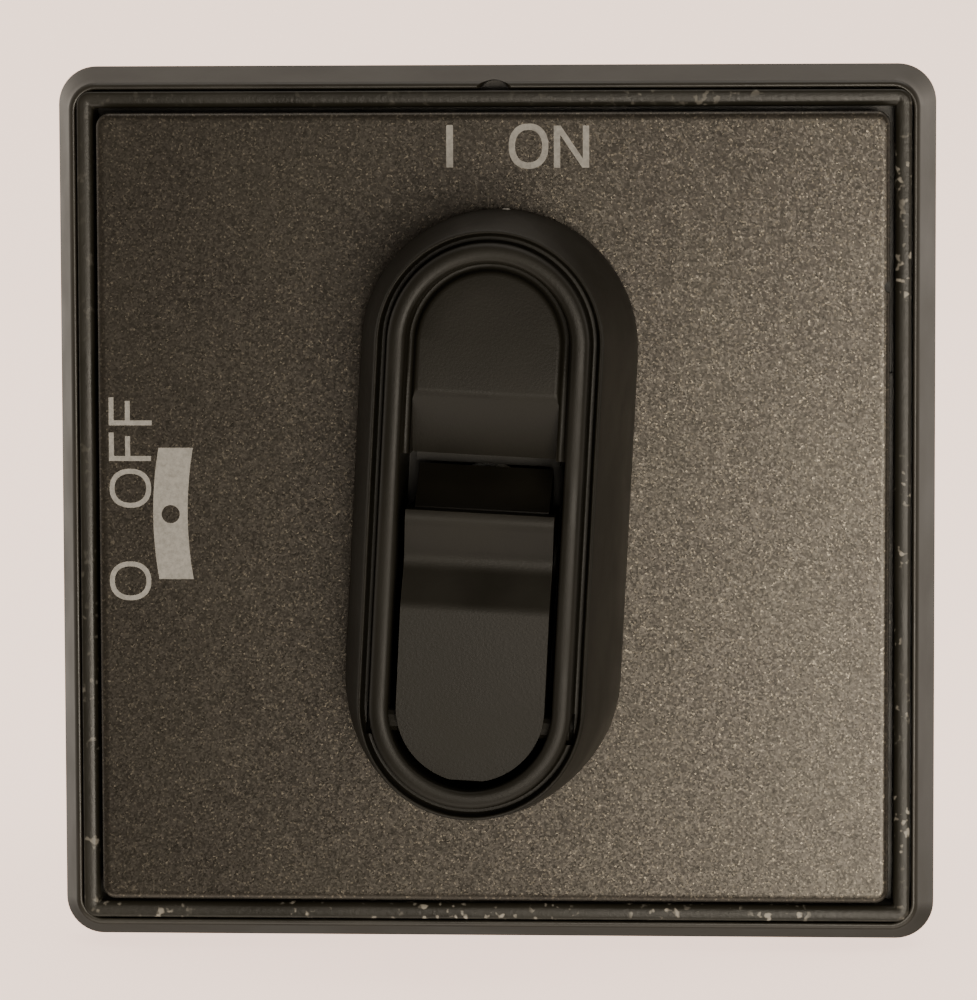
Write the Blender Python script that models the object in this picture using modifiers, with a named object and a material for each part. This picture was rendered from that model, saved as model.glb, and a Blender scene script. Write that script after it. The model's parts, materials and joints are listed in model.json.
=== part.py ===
"""Rotary isolator switch: a three-pole load-break switch for panel mounting, with a padlockable handle.

The assembly is laid out face up in millimetres: x to the right, y towards the ON mark, z out of the
panel towards the operator, and z = 0 on the front of the panel. MM turns the lengths to metres. The
assembly empty stands it all upright, so in the world -Y faces the operator and +Z is up.
"""

import math

import bmesh
import bpy
from mathutils import Matrix, Vector

MM = 0.001
GAP = 0.3  # clearance between pieces that touch on the real switch

# ---- driving dimensions, mm ----
PLATE_HALF = 30.0  # half the side of the square front
PLATE_CORNER = 2.4
SCREW_PITCH = 48.0  # square pattern of the four panel screws
PANEL_SPACE = 3.0  # room for the panel between gasket and flange

GASKET_TOP = 1.2
BASE_BOTTOM = GASKET_TOP + GAP
BASE_TOP = 5.5
BASE_FLOOR_TOP = 2.7
RECESS_HALF = 28.5
HUB_TOP = 4.5
HUB_OUTER_R = 11.0
HUB_BORE_R = 8.8

FRAME_OUTER_HALF = 28.15
FRAME_INNER_HALF = 27.15
FRAME_TOP = 5.75
FRAME_LEDGE_TOP = 4.5

LEGEND_HALF = 26.8
LEGEND_CORNER = 0.9
LEGEND_BOTTOM = FRAME_LEDGE_TOP + GAP
LEGEND_TOP = 7.0
LEGEND_HOLE_R = 8.3

REST_PAST_ON = 3.1  # degrees the handle stands clockwise of the exact ON mark
TURN = 90.0  # degrees between ON and OFF

KNOB_BASE = 7.6
KNOB_TOP = 21.6
PAD_TOP = 21.0
PAD_LOW = 19.8  # the pad falls to this height at the knob's upper end
COLLAR_R = 7.6
COLLAR_BOTTOM = 3.3
CAVITY_W = 5.35  # half-width of the recess in the knob's face
CAVITY_S = 11.9  # half the straight length of that recess
CAVITY_FLOOR = 12.6
SLOT_END = 4.5  # the finger slot runs from the lever's lip to here

LEVER_W = 4.85
LEVER_TOP = 21.3
LEVER_LIP = 0.9
PIVOT_Y = -13.0
PIVOT_Z = 19.8
TAIL_R = 3.75
EYE_R = 2.1
NOSE_W = 4.4  # half-width of the lever's nose, which closes the bottom of the finger slot
NOSE_END = 3.6

SHAFT_HALF = 3.0
SOCKET_HALF = SHAFT_HALF + GAP

HOUSING_X = 23.0
HOUSING_Y = 28.2
FLANGE_HALF = 28.5
MECHANISM_REAR = -16.0
POLES = 3
POLE_PITCH = 11.0
POLE_DEPTH = POLE_PITCH - GAP
POLE_FLOOR = 1.6
CHAMBER_R = 15.6
BLADE_HALF = 0.75
TIE_POINTS = ((-19.0, 23.0), (19.0, -23.0), (20.0, 7.0), (-20.0, -7.0))
TIE_R = 1.4

TERMINAL_X = 15.0
TERMINAL_Y = 20.8
WIRE_HALF = 2.7

LUG_ANGLE = 30.0  # degrees, where the stop lug stands on the detent hub
STOP_ANGLE = 16.5  # degrees between the lug and a stop rib that it rests on


# ---- scene ----
def clear_scene():
    for obj in list(bpy.data.objects):
        bpy.data.objects.remove(obj)


def make_collection(name):
    collection = bpy.data.collections.new(name)
    bpy.context.scene.collection.children.link(collection)
    return collection


def make_empty(name, parent=None, location=(0, 0, 0), rotation=(0, 0, 0)):
    empty = bpy.data.objects.new(name, None)
    PARTS.objects.link(empty)
    empty.parent = parent
    empty.location = Vector(location) * MM
    empty.rotation_euler = rotation
    return empty


def make_material(name, color, roughness, metallic=0.0):
    material = bpy.data.materials.new(name)
    material.use_nodes = True
    shader = material.node_tree.nodes["Principled BSDF"]
    shader.inputs["Base Color"].default_value = (*color, 1.0)
    shader.inputs["Roughness"].default_value = roughness
    shader.inputs["Metallic"].default_value = metallic
    return material


# ---- outlines, lists of (x, y) in mm ----
def arc(cx, cy, r, start, end, steps):
    """Points on an arc from start to end, in degrees, both ends included."""
    angles = [math.radians(start + (end - start) * i / steps) for i in range(steps + 1)]
    return [(cx + r * math.cos(a), cy + r * math.sin(a)) for a in angles]


def circle(cx, cy, r, steps=24):
    return arc(cx, cy, r, 0, 360, steps)[:-1]


def rounded_rect(hx, hy, r, steps=4):
    corners = ((hx - r, hy - r, 0), (r - hx, hy - r, 90), (r - hx, r - hy, 180), (hx - r, r - hy, 270))
    return [p for cx, cy, a in corners for p in arc(cx, cy, r, a, a + 90, steps)]


def rectangle(x0, x1, y0, y1):
    return [(x0, y0), (x1, y0), (x1, y1), (x0, y1)]


def stadium(w, s, steps=14):
    """A slot shape along y: half-width w, half straight length s."""
    return arc(0, s, w, 0, 180, steps) + arc(0, -s, w, 180, 360, steps)


# ---- solids ----
def place(name, data, material=None, parent=None, location=(0, 0, 0)):
    obj = bpy.data.objects.new(name, data)
    PARTS.objects.link(obj)
    obj.parent = parent
    obj.location = Vector(location) * MM
    if material:
        data.materials.clear()
        data.materials.append(material)
    return obj


def baked_mesh(obj):
    """The object's evaluated mesh, welded. The object and its modifiers are left alone."""
    bpy.context.view_layer.update()
    mesh = bpy.data.meshes.new_from_object(obj.evaluated_get(bpy.context.evaluated_depsgraph_get()))
    bm = bmesh.new()
    bm.from_mesh(mesh)
    bmesh.ops.remove_doubles(bm, verts=bm.verts, dist=0.00001)
    bm.to_mesh(mesh)
    bm.free()
    return mesh


def prism(name, loops, z0, z1):
    """A flat outline with holes, from z0 to z1. The first loop is the outside."""
    curve = bpy.data.curves.new(name, "CURVE")
    curve.dimensions = "2D"
    curve.fill_mode = "BOTH"
    curve.extrude = abs(z1 - z0) / 2 * MM
    for loop in loops:
        spline = curve.splines.new("POLY")
        spline.points.add(len(loop) - 1)
        for point, (x, y) in zip(spline.points, loop):
            point.co = (x * MM, y * MM, 0, 1)
        spline.use_cyclic_u = True
    flat = place(name + "_outline", curve)
    mesh = baked_mesh(flat)
    bpy.data.objects.remove(flat)
    mesh.transform(Matrix.Translation((0, 0, (z0 + z1) / 2 * MM)))
    return place(name, mesh)


def side_prism(name, outline, x0, x1):
    """An outline of (y, z) points, carried across from x0 to x1."""
    body = prism(name, [outline], x0, x1)
    body.data.transform(Matrix(((0, 0, 1, 0), (1, 0, 0, 0), (0, 1, 0, 0), (0, 0, 0, 1))))
    return body


def box(name, x0, x1, y0, y1, z0, z1):
    return prism(name, [rectangle(x0, x1, y0, y1)], z0, z1)


def loft(name, rings, closed=False):
    """Skins a list of (outline, z) with equal point counts. A closed loft is a ring with a hole."""
    bm = bmesh.new()
    rows = [[bm.verts.new((x * MM, y * MM, z * MM)) for x, y in outline] for outline, z in rings]
    count = len(rows[0])
    pairs = list(zip(rows, rows[1:] + rows[:1])) if closed else list(zip(rows, rows[1:]))
    for low, high in pairs:
        for i in range(count):
            j = (i + 1) % count
            bm.faces.new((low[i], low[j], high[j], high[i]))
    if not closed:
        bm.faces.new(rows[0][::-1])
        bm.faces.new(rows[-1])
    bmesh.ops.recalc_face_normals(bm, faces=bm.faces)
    mesh = bpy.data.meshes.new(name)
    bm.to_mesh(mesh)
    bm.free()
    return place(name, mesh)


def turned(name, profile, steps=24):
    """Turns a profile of (radius, z), given down its outer side, about the z axis."""
    mesh = bpy.data.meshes.new(name)
    verts = [(r * MM, 0, z * MM) for r, z in profile]
    mesh.from_pydata(verts, [(i, i + 1) for i in range(len(verts) - 1)], [])
    body = place(name, mesh)
    screw = body.modifiers.new("turn", "SCREW")
    screw.steps = screw.render_steps = steps
    screw.use_merge_vertices = True
    screw.merge_threshold = 0.00001
    body.data = baked_mesh(body)
    body.modifiers.clear()
    return body


def rod(name, r, z0, z1, at=(0, 0), steps=24):
    return prism(name, [circle(*at, r, steps)], z0, z1)


def along_x(body, y, z):
    """Lays a body that was made about the z axis along x, at height y and z."""
    body.data.transform(Matrix.Translation((0, y * MM, z * MM)) @ Matrix.Rotation(math.pi / 2, 4, "Y"))
    return body


def combine(body, tool, operation):
    """A Boolean that is worked out at once, so no cutter is left behind."""
    modifier = body.modifiers.new(operation.lower(), "BOOLEAN")
    modifier.operation = operation
    modifier.object = tool
    body.data = baked_mesh(body)
    body.modifiers.clear()
    bpy.data.objects.remove(tool)
    return body


def cut(body, *tools):
    for tool in tools:
        combine(body, tool, "DIFFERENCE")
    return body


def join(body, *others):
    for other in others:
        combine(body, other, "UNION")
    return body


def finish(body, name, material, parent, location=(0, 0, 0), rotation=0.0, origin=(0, 0, 0)):
    """Names the piece, moves its origin and hangs it under its parent."""
    body.name = body.data.name = name
    body.data.materials.clear()
    body.data.materials.append(material)
    body.data.transform(Matrix.Translation(Vector(origin) * -MM))
    body.data.shade_smooth()
    body.data.set_sharp_from_angle(angle=math.radians(35))
    body.parent = parent
    body.location = Vector(location) * MM
    body.rotation_euler = (0, 0, rotation)
    return body


# ---- fasteners ----
def screw_body(head_r, head_h, shank_r, length, steps=16):
    """A slotted pan-head screw: head on top of z = 0, shank below it."""
    chamfer = 0.25 * head_h
    profile = [
        (0, head_h),
        (head_r - chamfer, head_h),
        (head_r, head_h - chamfer),
        (head_r, 0),
        (shank_r, 0),
        (shank_r, 0.4 - length),
        (shank_r - 0.4, -length),
        (0, -length),
    ]
    body = turned("screw", profile, steps)
    slot_depth = 0.5 * head_h
    return cut(body, box("slot", -0.4, 0.4, -head_r - 1, head_r + 1, head_h - slot_depth, head_h + 1))


# ---- front, fixed ----
def screw_points():
    half = SCREW_PITCH / 2
    return [(sx * half, sy * half) for sx, sy in ((-1, 1), (1, 1), (1, -1), (-1, -1))]


def panel_gasket():
    holes = [circle(0, 0, 11.5, 32)] + [circle(x, y, 1.9, 12) for x, y in screw_points()]
    body = prism("panel_gasket", [rounded_rect(29.4, 29.4, 2.2)] + holes, 0, GASKET_TOP)
    finish(body, "panel_gasket", RUBBER, ASSEMBLY)


def base_plate():
    """The outer frame: a drafted square tray with a central hub and a pry notch in its top wall."""
    body = loft(
        "base_plate",
        [
            (rounded_rect(PLATE_HALF, PLATE_HALF, PLATE_CORNER), BASE_BOTTOM),
            (rounded_rect(29.1, 29.1, 1.9), 5.25),
            (rounded_rect(28.85, 28.85, 1.7), BASE_TOP),
        ],
    )
    above = BASE_TOP + 1
    tray = [rounded_rect(RECESS_HALF, RECESS_HALF, 0.8), circle(0, 0, HUB_OUTER_R, 32)]
    cut(
        body,
        prism("tray", tray, BASE_FLOOR_TOP, above),
        rod("hub_top", HUB_OUTER_R + 1, HUB_TOP, above, steps=32),
        rod("hub_bore", HUB_BORE_R, 0, above, steps=32),
        rod("pry_notch", 1.42, 4.7, above, (0, 27.95), 20),
    )
    for x, y in screw_points():
        cut(body, rod("screw_hole", 1.8, 0, 4, (x, y), 12))
    finish(body, "base_plate", BLACK, ASSEMBLY)


def cover_frame():
    """The snap-in rim, with a rounded crest and four ledges that carry the legend plate."""
    profile = [
        (FRAME_OUTER_HALF, 3.0),
        (FRAME_OUTER_HALF, 5.3),
        (27.98, 5.62),
        (27.65, FRAME_TOP),
        (27.32, 5.62),
        (FRAME_INNER_HALF, 5.3),
        (FRAME_INNER_HALF, 3.0),
    ]
    body = loft("cover_frame", [(rounded_rect(h, h, 0.7, 3), z) for h, z in profile], closed=True)
    inner, outer, reach = 26.0, FRAME_INNER_HALF + 0.3, 9.0
    for sign in (-1, 1):
        x0, x1 = sorted((sign * inner, sign * outer))
        join(
            body,
            box("ledge", x0, x1, -reach, reach, 3.0, FRAME_LEDGE_TOP),
            box("ledge", -reach, reach, x0, x1, 3.0, FRAME_LEDGE_TOP),
        )
    finish(body, "cover_frame", BLACK, ASSEMBLY)


def legend_plate():
    outline = rounded_rect(LEGEND_HALF, LEGEND_HALF, LEGEND_CORNER)
    body = prism("legend_plate", [outline, circle(0, 0, LEGEND_HOLE_R, 32)], LEGEND_BOTTOM, LEGEND_TOP)
    cut(body, rod("gate_nick", 0.5, 4, 8, (LEGEND_HALF + 0.15, 15.0), 12))
    finish(body, "legend_plate", LEGEND, ASSEMBLY)


def panel_screws():
    mesh = None
    for i, (x, y) in enumerate(screw_points(), 1):
        body = screw_body(2.8, 1.6, 1.45, 12.0) if mesh is None else place("screw", mesh)
        mesh = body.data
        name = f"panel_screw_{i}"
        finish(body, name, STEEL, ASSEMBLY, (x, y, BASE_FLOOR_TOP + GAP), math.radians(25 + 40 * i))


# ---- handle, turning ----
def knob_outer():
    """The stadium-shaped handle: drafted skirt, a fine step below the rim, and the rim's crest."""
    sections = [
        (KNOB_BASE, 9.05, 11.0),
        (7.9, 9.33, 11.0),
        (13.0, 8.8, 11.25),
        (18.0, 8.05, 11.55),
        (20.4, 7.5, 11.75),
        (20.8, 7.25, 11.8),
        (20.45, 7.1, 11.8),
        (20.5, 6.9, 11.85),
        (21.2, 6.75, 11.9),
        (21.5, 6.4, 11.9),
        (KNOB_TOP, 6.1, 11.9),
    ]
    return loft("knob", [(stadium(w, s), z) for z, w, s in sections])


def cavity_outline(w, end):
    """The recess below the face: round at the lower end, square at the upper."""
    return [(w, end), (-w, end)] + arc(0, -CAVITY_S, w, 180, 360, 14)


def knob():
    body = knob_outer()
    collar = turned(
        "collar",
        [(0, 8.2), (COLLAR_R, 8.2), (COLLAR_R, 5.3), (7.0, 5.3), (7.0, 4.1), (COLLAR_R, 4.1)]
        + [(COLLAR_R, COLLAR_BOTTOM), (0, COLLAR_BOTTOM)],
        32,
    )
    join(body, collar)
    above = KNOB_TOP + 2
    face = prism("face_recess", [stadium(CAVITY_W, CAVITY_S)], PAD_LOW - 1, above)
    slope = [(-18, PAD_TOP), (8.0, PAD_TOP), (18.0, PAD_LOW), (18.0, above), (-18, above)]
    combine(face, side_prism("pad_slope", slope, -6, 6), "INTERSECT")
    ramp = [(SLOT_END - 0.1, 18.4), (8.2, PAD_TOP + 0.05), (8.2, above), (SLOT_END - 0.1, above)]
    cut(
        body,
        face,
        prism("lever_cavity", [cavity_outline(CAVITY_W, SLOT_END)], CAVITY_FLOOR, above),
        side_prism("finger_ramp", ramp, -CAVITY_W, CAVITY_W),
        rod("screw_seat", 3.9, 10.0, CAVITY_FLOOR + 1),
        rod("screw_hole", 2.2, 9.0, 11.0, steps=16),
        box("shaft_socket", -SOCKET_HALF, SOCKET_HALF, -SOCKET_HALF, SOCKET_HALF, 2, 9.2),
        box("core_upper", -5.4, 5.4, 9.6, 17.0, 7, 18.2),
        box("core_lower", -5.6, 5.6, -17.0, -9.6, 7, 11.2),
        along_x(rod("pin_bore", 1.05, -6.8, 6.8, steps=12), PIVOT_Y, PIVOT_Z),
    )
    finish(body, "knob", BLACK, ROTOR)


def padlock_lever():
    """Swings up out of the knob about its pin. It is the plan outline where that meets the side outline."""
    plan = prism("padlock_lever", [cavity_outline(LEVER_W, LEVER_LIP)], 12, 23)
    corner = math.degrees(math.asin((LEVER_TOP - PIVOT_Z) / TAIL_R))
    side = [
        (1.5, 21.0),
        (LEVER_LIP - 0.25, 21.15),
        (-2.2, 20.0),
        (-5.2, LEVER_TOP),
        *arc(PIVOT_Y, PIVOT_Z, TAIL_R, 180 - corner, 262, 10),
        (-12.4, 16.35),
        (-6.5, 13.5),
        (1.5, 13.5),
    ]
    body = combine(plan, side_prism("side", side, -6, 6), "INTERSECT")
    nose = [(0.5, 13.5), (NOSE_END - 1.2, 13.5), (NOSE_END - 0.4, 14.4), (NOSE_END, 15.8)]
    nose += [(1.0, 18.9), (0.5, 18.9)]
    join(body, side_prism("nose", nose, -NOSE_W, NOSE_W))
    cut(
        body,
        along_x(rod("eye", EYE_R, -6, 6, steps=20), -2.6, 16.6),
        along_x(rod("pin_hole", 1.05, -6, 6, steps=12), PIVOT_Y, PIVOT_Z),
    )
    finish(body, "padlock_lever", BLACK, LEVER_AXIS, origin=(0, PIVOT_Y, PIVOT_Z))


def lever_pin():
    body = along_x(rod("pin", 0.75, -6.5, 6.5, steps=12), 0, 0)
    finish(body, "lever_pin", BLACK, ROTOR, (0, PIVOT_Y, PIVOT_Z))


def lever_spring():
    """A bent leaf that bears on the flat under the lever's tail."""
    thickness = 0.3
    bend_y, bend_z, bend_r = -13.8, 14.35, 1.4
    outer = arc(bend_y, bend_z, bend_r, 90, 270, 8)
    inner = arc(bend_y, bend_z, bend_r - thickness, 270, 90, 8)
    foot_end, tip_end = -9.0, -12.3
    outline = (
        outer
        + [(foot_end, bend_z - bend_r), (foot_end, bend_z - bend_r + thickness)]
        + inner
        + [(tip_end, bend_z + bend_r - thickness), (tip_end, bend_z + bend_r)]
    )
    body = side_prism("lever_spring", outline, -2.0, 2.0)
    finish(body, "lever_spring", STEEL, ROTOR)


def knob_fixings():
    washer = prism("washer", [circle(0, 0, 3.5), circle(0, 0, 2.25, 16)], 10.3, 10.9)
    finish(washer, "knob_washer", STEEL, ROTOR)
    finish(screw_body(3.3, 1.6, 1.9, 9.5, 20), "knob_screw", STEEL, ROTOR, (0, 0, 10.9 + GAP))


def collar_seal():
    bpy.ops.mesh.primitive_torus_add(
        major_radius=7.8 * MM, minor_radius=0.5 * MM, major_segments=32, minor_segments=8
    )
    ring = bpy.context.object
    mesh = ring.data.copy()
    bpy.data.objects.remove(ring)
    finish(place("seal", mesh), "collar_seal", RUBBER, ROTOR, (0, 0, 4.7))


def shaft():
    half, rear, front = SHAFT_HALF, -50.5, 8.9
    body = prism("shaft", [rounded_rect(half, half, 0.4, 1)], rear, front)
    cut(body, rod("thread_hole", 2.2, 0.8, front + 1, steps=16))
    finish(body, "shaft", ZINC, ROTOR)


# ---- mechanism ----
def radial_bar(name, r0, r1, half_width, angle, z0, z1):
    """A bar that points away from the axis at an angle in degrees."""
    body = box(name, r0, r1, -half_width, half_width, z0, z1)
    body.data.transform(Matrix.Rotation(math.radians(angle), 4, "Z"))
    return body


def mechanism_housing():
    """Flange behind the panel, screw bosses, and the chamber that holds the detent."""
    flange_rear, boss_rear, front_wall = -6.0, -11.0, -4.8
    body = prism("housing", [rounded_rect(FLANGE_HALF, FLANGE_HALF, 2.0)], -PANEL_SPACE, flange_rear)
    block = [rounded_rect(HOUSING_X, HOUSING_Y, 1.5)]
    join(body, prism("block", block, -PANEL_SPACE - 1, MECHANISM_REAR))
    for x, y in screw_points():
        join(body, rod("boss", 3.6, -PANEL_SPACE - 1, boss_rear, (x, y), 16))
        cut(body, rod("boss_hole", 1.75, 0, boss_rear + 1, (x, y), 12))
    behind = MECHANISM_REAR - 1
    cut(
        body,
        rod("chamber", 17.0, front_wall, behind, steps=36),
        rod("journal_hole", 6.3, 0, behind, steps=24),
    )
    for sx in (-1, 1):
        for sy in (-1, 1):
            x0, x1 = sorted((sx * 7.9, sx * 10.1))
            y0, y1 = sorted((sy * 12.0, sy * 18.2))
            cut(body, box("spring_notch", x0, x1, y0, y1, -8.2, behind))
    for angle in (LUG_ANGLE - REST_PAST_ON - STOP_ANGLE, LUG_ANGLE + TURN + STOP_ANGLE):
        join(body, radial_bar("stop_rib", 11.9, 18.0, 1.5, angle, -13.6, MECHANISM_REAR + 0.2))
    for x, y in TIE_POINTS:
        cut(body, rod("tie_hole", TIE_R + GAP, -9.0, behind, (x, y), 12))
    finish(body, "mechanism_housing", GREY, ASSEMBLY)


def detent_hub():
    """Journal, square detent cam and the disc with the stop lug, in one moulding."""
    body = rod("hub", 5.95, -3.3, -5.6)
    join(
        body,
        rod("thrust", 7.4, -5.1, -8.0),
        prism("cam", [rounded_rect(8.0, 8.0, 4.0, 6)], -7.8, -13.0),
        rod("stop_disc", 7.4, -12.8, -15.6),
        radial_bar("lug", 4.0, 13.2, 1.6, LUG_ANGLE, -13.5, -15.6),
    )
    cut(body, box("bore", -SOCKET_HALF, SOCKET_HALF, -SOCKET_HALF, SOCKET_HALF, 0, -18))
    finish(body, "detent_hub", NYLON, ROTOR)


def detent_springs():
    """Two leaves that press on the flats of the detent cam, their ends in notches of the housing."""
    inner, outer = 8.5, 8.9
    for name, sign in (("detent_spring_left", -1), ("detent_spring_right", 1)):
        strip = [(inner, -16.6), (inner + 0.5, -17.4), (outer + 0.5, -17.2), (outer, -16.4)]
        outline = strip + [(x, -y) for x, y in reversed(strip)]
        outline = [(sign * x, y) for x, y in outline]
        finish(prism(name, [outline], -8.8, -13.0), name, STEEL, ASSEMBLY)


# ---- poles, in a frame whose z = 0 is the front of the pole housing ----
CONTACT_Z = -(POLE_FLOOR + POLE_DEPTH) / 2


def half_turned(body):
    body.data.transform(Matrix.Rotation(math.pi, 4, "Z"))
    return body


def pole_housing_body():
    """A wafer with a round arc chamber, and a terminal bay in two opposite corners."""
    body = prism("pole", [rounded_rect(HOUSING_X, HOUSING_Y, 1.5)], 0, -POLE_DEPTH)
    behind = -POLE_DEPTH - 1
    cut(
        body,
        rod("chamber", CHAMBER_R, -POLE_FLOOR, behind, steps=36),
        rod("bearing", 6.3, 1, behind, steps=24),
    )
    wire_z = (CONTACT_Z - WIRE_HALF, CONTACT_Z + WIRE_HALF)
    wire_x = (TERMINAL_X - WIRE_HALF, TERMINAL_X + WIRE_HALF)
    for turn in (lambda part: part, half_turned):
        cut(
            body,
            turn(box("arm_channel", -3.8, 12.0, 12.0, 18.8, CONTACT_Z + 2.6, behind)),
            turn(box("terminal_bay", 10.2, 19.8, 16.2, 25.4, -POLE_FLOOR, behind)),
            turn(box("wire_entry", *wire_x, 25.0, 30.0, *wire_z)),
            turn(along_x(rod("screw_access", 3.4, 19.0, 25.0, steps=20), TERMINAL_Y, CONTACT_Z)),
        )
    for x, y in TIE_POINTS:
        cut(body, rod("tie_hole", TIE_R + GAP, 1, behind, (x, y), 12))
    return body


def fixed_contact_body():
    """Jaw, arm and tunnel terminal of one side. The other side is the same piece, half turned."""
    body = box("jaw", -3.4, 3.4, 10.8, 18.4, CONTACT_Z - 2.2, CONTACT_Z + 2.2)
    join(
        body,
        box("arm", -3.4, 12.0, 15.2, 18.4, CONTACT_Z - 2.2, CONTACT_Z + 2.2),
        box("block", 10.6, 19.4, 16.6, 25.0, CONTACT_Z - 3.6, CONTACT_Z + 3.6),
    )
    slot_half = BLADE_HALF + GAP
    wire_bore = rod("wire_bore", 2.5, -26, -18.0, steps=16)
    wire_bore.data.transform(
        Matrix.Translation((TERMINAL_X * MM, 0, CONTACT_Z * MM)) @ Matrix.Rotation(math.pi / 2, 4, "X")
    )
    cut(
        body,
        box("blade_slot", -4, 4, 10, 14.9, CONTACT_Z - slot_half, CONTACT_Z + slot_half),
        wire_bore,
        along_x(rod("screw_thread", 2.0, 16.0, 21.0, steps=16), TERMINAL_Y, CONTACT_Z),
    )
    return body


def moving_contact_body():
    """The bridging blade: a ring with two ears and a square eye that the rotor drives."""
    ring_r, ear_half, ear_r = 9.6, 2.8, 14.3
    foot = math.degrees(math.asin(ear_half / ring_r))
    tip = math.degrees(math.asin(ear_half / ear_r))
    outline = []
    for middle in (90, 270):
        outline += arc(0, 0, ear_r, middle - tip, middle + tip, 4)
        outline += arc(0, 0, ring_r, middle + foot, middle + 180 - foot, 12)
    bore = rectangle(-5.5, 5.5, -5.5, 5.5)
    return prism("blade", [outline, bore], CONTACT_Z - BLADE_HALF, CONTACT_Z + BLADE_HALF)


def rotor_body():
    seat = CONTACT_Z + BLADE_HALF + 0.2
    body = rod("rotor", 6.0, -0.3, -2.4)
    join(
        body,
        rod("flange", 10.0, -2.2, seat, steps=28),
        box("drive", -5.2, 5.2, -5.2, 5.2, seat + 0.5, CONTACT_Z - 3.9),
    )
    return cut(body, box("bore", -SOCKET_HALF, SOCKET_HALF, -SOCKET_HALF, SOCKET_HALF, 1, -15))


def contact_spring_body():
    front = CONTACT_Z - BLADE_HALF - GAP
    return prism("spring", [circle(0, 0, 9.3), circle(0, 0, 7.7)], front, front - 0.5)


def terminal_screw_body():
    body = screw_body(2.8, 1.8, 1.65, 2.0, 16)
    body.data.transform(Matrix.Rotation(math.pi / 2, 4, "Y"))
    return body


def poles():
    housing = pole_housing_body()
    rotor = rotor_body()
    blade = moving_contact_body()
    washer = contact_spring_body()
    line = fixed_contact_body()
    screw = terminal_screw_body()
    for i in range(1, POLES + 1):
        front = (0, 0, MECHANISM_REAR - GAP - POLE_PITCH * (i - 1))
        finish(place("copy", housing.data.copy()), f"pole_housing_{i}", GREY, ASSEMBLY, front)
        finish(place("copy", rotor.data.copy()), f"rotor_{i}", NYLON, ROTOR, front)
        finish(place("copy", blade.data.copy()), f"moving_contact_{i}", COPPER, ROTOR, front)
        finish(place("copy", washer.data.copy()), f"contact_spring_{i}", STEEL, ROTOR, front)
        for side, angle in (("line", 0.0), ("load", math.pi)):
            name = f"fixed_contact_{side}_{i}"
            finish(place("copy", line.data.copy()), name, BRASS, ASSEMBLY, front, angle)
            away = math.cos(angle)
            at = (19.8 * away, TERMINAL_Y * away, front[2] + CONTACT_Z)
            name = f"terminal_screw_{side}_{i}"
            finish(place("copy", screw.data.copy()), name, STEEL, ASSEMBLY, at, angle)
    for prototype in (housing, rotor, blade, washer, line, screw):
        bpy.data.objects.remove(prototype)


# ---- rear ----
def stack_rear():
    return MECHANISM_REAR - POLE_PITCH * POLES


def rear_cover():
    front = stack_rear() - GAP
    rear = front - 3.0
    body = loft(
        "cover",
        [
            (rounded_rect(HOUSING_X - 0.8, HOUSING_Y - 0.8, 1.2), rear),
            (rounded_rect(HOUSING_X, HOUSING_Y, 1.5), rear + 0.8),
            (rounded_rect(HOUSING_X, HOUSING_Y, 1.5), front),
        ],
    )
    cut(body, rod("shaft_bearing", 4.6, front + 1, rear + 1.0))
    for x, y in TIE_POINTS:
        cut(body, rod("tie_hole", TIE_R + GAP, front + 1, rear - 1, (x, y), 12))
    finish(body, "rear_cover", GREY, ASSEMBLY)


def tie_screws():
    under_head = stack_rear() - 3.0 - 2 * GAP
    length = abs(under_head) - 10.0
    mesh = None
    for i, (x, y) in enumerate(TIE_POINTS, 1):
        if mesh is None:
            body = screw_body(2.8, 1.8, TIE_R, length)
            body.data.transform(Matrix.Rotation(math.pi, 4, "X"))
            mesh = body.data
        else:
            body = place("screw", mesh)
        finish(body, f"tie_screw_{i}", STEEL, ASSEMBLY, (x, y, under_head), math.radians(35 * i))


clear_scene()
PARTS = make_collection("rotary_isolator_switch")
BLACK = make_material("black_plastic", (0.028, 0.026, 0.022), 0.42)
GREY = make_material("grey_plastic", (0.16, 0.16, 0.155), 0.5)
NYLON = make_material("rotor_nylon", (0.62, 0.60, 0.54), 0.45)
LEGEND = make_material("legend_film", (0.13, 0.12, 0.10), 0.45, 0.35)
RUBBER = make_material("rubber", (0.02, 0.02, 0.02), 0.8)
STEEL = make_material("zinc_plated_steel", (0.62, 0.62, 0.60), 0.35, 1.0)
ZINC = make_material("shaft_steel", (0.50, 0.50, 0.49), 0.4, 1.0)
BRASS = make_material("brass", (0.72, 0.55, 0.25), 0.3, 1.0)
COPPER = make_material("silvered_copper", (0.80, 0.58, 0.42), 0.3, 1.0)

ASSEMBLY = make_empty("assembly", rotation=(math.pi / 2, 0, 0))
ROTOR = make_empty("rotor_axis", ASSEMBLY, rotation=(0, 0, -math.radians(REST_PAST_ON)))
LEVER_AXIS = make_empty("lever_axis", ROTOR, (0, PIVOT_Y, PIVOT_Z))

panel_gasket()
base_plate()
cover_frame()
legend_plate()
panel_screws()
knob()
padlock_lever()
lever_pin()
lever_spring()
knob_fixings()
collar_seal()
shaft()
mechanism_housing()
detent_hub()
detent_springs()
poles()
rear_cover()
tie_screws()
bpy.context.view_layer.update()
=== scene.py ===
"""The look of the rotary isolator switch: finely modelled skins, printed marks, materials and stage.

Pieces are modelled face up in millimetres, in the switch's own layout: x to the right, y towards the ON
mark and z out of the panel. STAND turns that layout upright and into metres, the frame of the CAD model.
"""

import json
import math

import bmesh
import bpy
from mathutils import Matrix, Vector


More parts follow.
